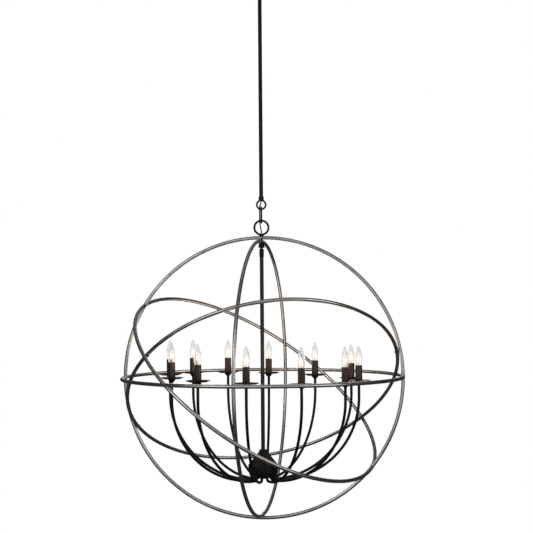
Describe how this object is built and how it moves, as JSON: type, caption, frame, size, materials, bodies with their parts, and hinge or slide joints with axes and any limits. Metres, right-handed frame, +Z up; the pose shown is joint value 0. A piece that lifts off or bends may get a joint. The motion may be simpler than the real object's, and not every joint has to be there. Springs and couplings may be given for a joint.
{
  "type": "orb chandelier",
  "caption": "Hanging orb chandelier: round-bar rings crossing as an open sphere round a ring of candle lights on curved arms, hung by loops and links on a rod from a ceiling canopy.",
  "frame": {"origin": "on the ceiling plane, midway between the two box screws, on the axis of the rod", "axes": "+Z up into the ceiling, +X along the crossbar, -Y towards the camera of the picture"},
  "size_m": [1.016, 1.016, 2.0741],
  "materials": {
    "zinc_steel": "zinc plated",
    "ground_green": "green dyed zinc",
    "brass": "plain turned",
    "black_metal": "satin black",
    "ring_steel": "antiqued pewter grey",
    "socket_phenolic": "moulded matt",
    "sleeve_bronze": "dark bronze satin",
    "bulb_glass": "clear",
    "cord_jacket": "matt jacket"
  },
  "bodies": {
    "ceiling": {"crossbar": "zinc_steel", "ground_screw": "ground_green", "ceiling_nipple": "brass", "nipple_nut": "zinc_steel", "canopy_loop": "black_metal", "upper_cord_a": "cord_jacket"},
    "canopy": {"canopy": "black_metal", "collar_ring": "black_metal"},
    "upper_link": {"upper_link": "black_metal"},
    "downrod": {"rod": "black_metal", "rod_loop_top": "black_metal", "rod_loop_bottom": "black_metal", "upper_cord_b": "cord_jacket", "lower_cord_a": "cord_jacket"},
    "lower_link": {"lower_link": "black_metal"},
    "orb": {"orb_loop": "black_metal", "lower_cord_b": "cord_jacket", "ring_front": "ring_steel", "ring_side": "ring_steel", "ring_equator": "ring_steel", "ring_tilt_a": "ring_steel", "ring_tilt_b": "ring_steel", "ring_rivets": "ring_steel", "top_nut": "black_metal", "stem_flange": "black_metal", "stem_coupling": "black_metal", "stem": "black_metal", "hub_cover": "black_metal", "hub_body": "black_metal", "hub_cap": "black_metal", "arm_nuts": "zinc_steel", "candle_cups": "black_metal", "bobeches": "black_metal", "sockets": "socket_phenolic", "candle_sleeves": "sleeve_bronze", "arm_01": "black_metal", "arm_02": "black_metal", "arm_03": "black_metal", "arm_04": "black_metal", "arm_05": "black_metal", "arm_06": "black_metal", "arm_07": "black_metal", "arm_08": "black_metal", "arm_09": "black_metal", "arm_10": "black_metal", "arm_11": "black_metal", "arm_12": "black_metal"},
    "bulb_01": {"bulb_01": "bulb_glass"},
    "bulb_02": {"bulb_02": "bulb_glass"},
    "bulb_03": {"bulb_03": "bulb_glass"},
    "bulb_04": {"bulb_04": "bulb_glass"},
    "bulb_05": {"bulb_05": "bulb_glass"},
    "bulb_06": {"bulb_06": "bulb_glass"},
    "bulb_07": {"bulb_07": "bulb_glass"},
    "bulb_08": {"bulb_08": "bulb_glass"},
    "bulb_09": {"bulb_09": "bulb_glass"},
    "bulb_10": {"bulb_10": "bulb_glass"},
    "bulb_11": {"bulb_11": "bulb_glass"},
    "bulb_12": {"bulb_12": "bulb_glass"}
  },
  "joints": [
    {"name": "canopy_drop", "type": "slide", "parent": "ceiling", "child": "canopy", "axis": [0, 0, -1], "range_m": [0, 0.016]},
    {"name": "upper_link_swing", "type": "hinge", "parent": "ceiling", "child": "upper_link", "pos_m": [0, 0, -0.0664], "axis": [1, 0, 0], "range_deg": [-35, 35], "deforming": ["upper_cord_a"]},
    {"name": "rod_swing", "type": "hinge", "parent": "upper_link", "child": "downrod", "pos_m": [0, 0, -0.1161], "axis": [0, 1, 0], "range_deg": [-35, 35], "deforming": ["upper_cord_b"]},
    {"name": "lower_link_swing", "type": "hinge", "parent": "downrod", "child": "lower_link", "pos_m": [0, 0, -0.9614], "axis": [1, 0, 0], "range_deg": [-35, 35], "deforming": ["lower_cord_a"]},
    {"name": "orb_swing", "type": "hinge", "parent": "lower_link", "child": "orb", "pos_m": [0, 0, -1.0103], "axis": [0, 1, 0], "range_deg": [-35, 35], "deforming": ["lower_cord_b"]},
    {"name": "bulb_01_pull", "type": "slide", "parent": "orb", "child": "bulb_01", "axis": [0, 0, 1], "range_m": [0, 0.03]},
    {"name": "bulb_02_pull", "type": "slide", "parent": "orb", "child": "bulb_02", "axis": [0, 0, 1], "range_m": [0, 0.03]},
    {"name": "bulb_03_pull", "type": "slide", "parent": "orb", "child": "bulb_03", "axis": [0, 0, 1], "range_m": [0, 0.03]},
    {"name": "bulb_04_pull", "type": "slide", "parent": "orb", "child": "bulb_04", "axis": [0, 0, 1], "range_m": [0, 0.03]},
    {"name": "bulb_05_pull", "type": "slide", "parent": "orb", "child": "bulb_05", "axis": [0, 0, 1], "range_m": [0, 0.03]},
    {"name": "bulb_06_pull", "type": "slide", "parent": "orb", "child": "bulb_06", "axis": [0, 0, 1], "range_m": [0, 0.03]},
    {"name": "bulb_07_pull", "type": "slide", "parent": "orb", "child": "bulb_07", "axis": [0, 0, 1], "range_m": [0, 0.03]},
    {"name": "bulb_08_pull", "type": "slide", "parent": "orb", "child": "bulb_08", "axis": [0, 0, 1], "range_m": [0, 0.03]},
    {"name": "bulb_09_pull", "type": "slide", "parent": "orb", "child": "bulb_09", "axis": [0, 0, 1], "range_m": [0, 0.03]},
    {"name": "bulb_10_pull", "type": "slide", "parent": "orb", "child": "bulb_10", "axis": [0, 0, 1], "range_m": [0, 0.03]},
    {"name": "bulb_11_pull", "type": "slide", "parent": "orb", "child": "bulb_11", "axis": [0, 0, 1], "range_m": [0, 0.03]},
    {"name": "bulb_12_pull", "type": "slide", "parent": "orb", "child": "bulb_12", "axis": [0, 0, 1], "range_m": [0, 0.03]}
  ]
}
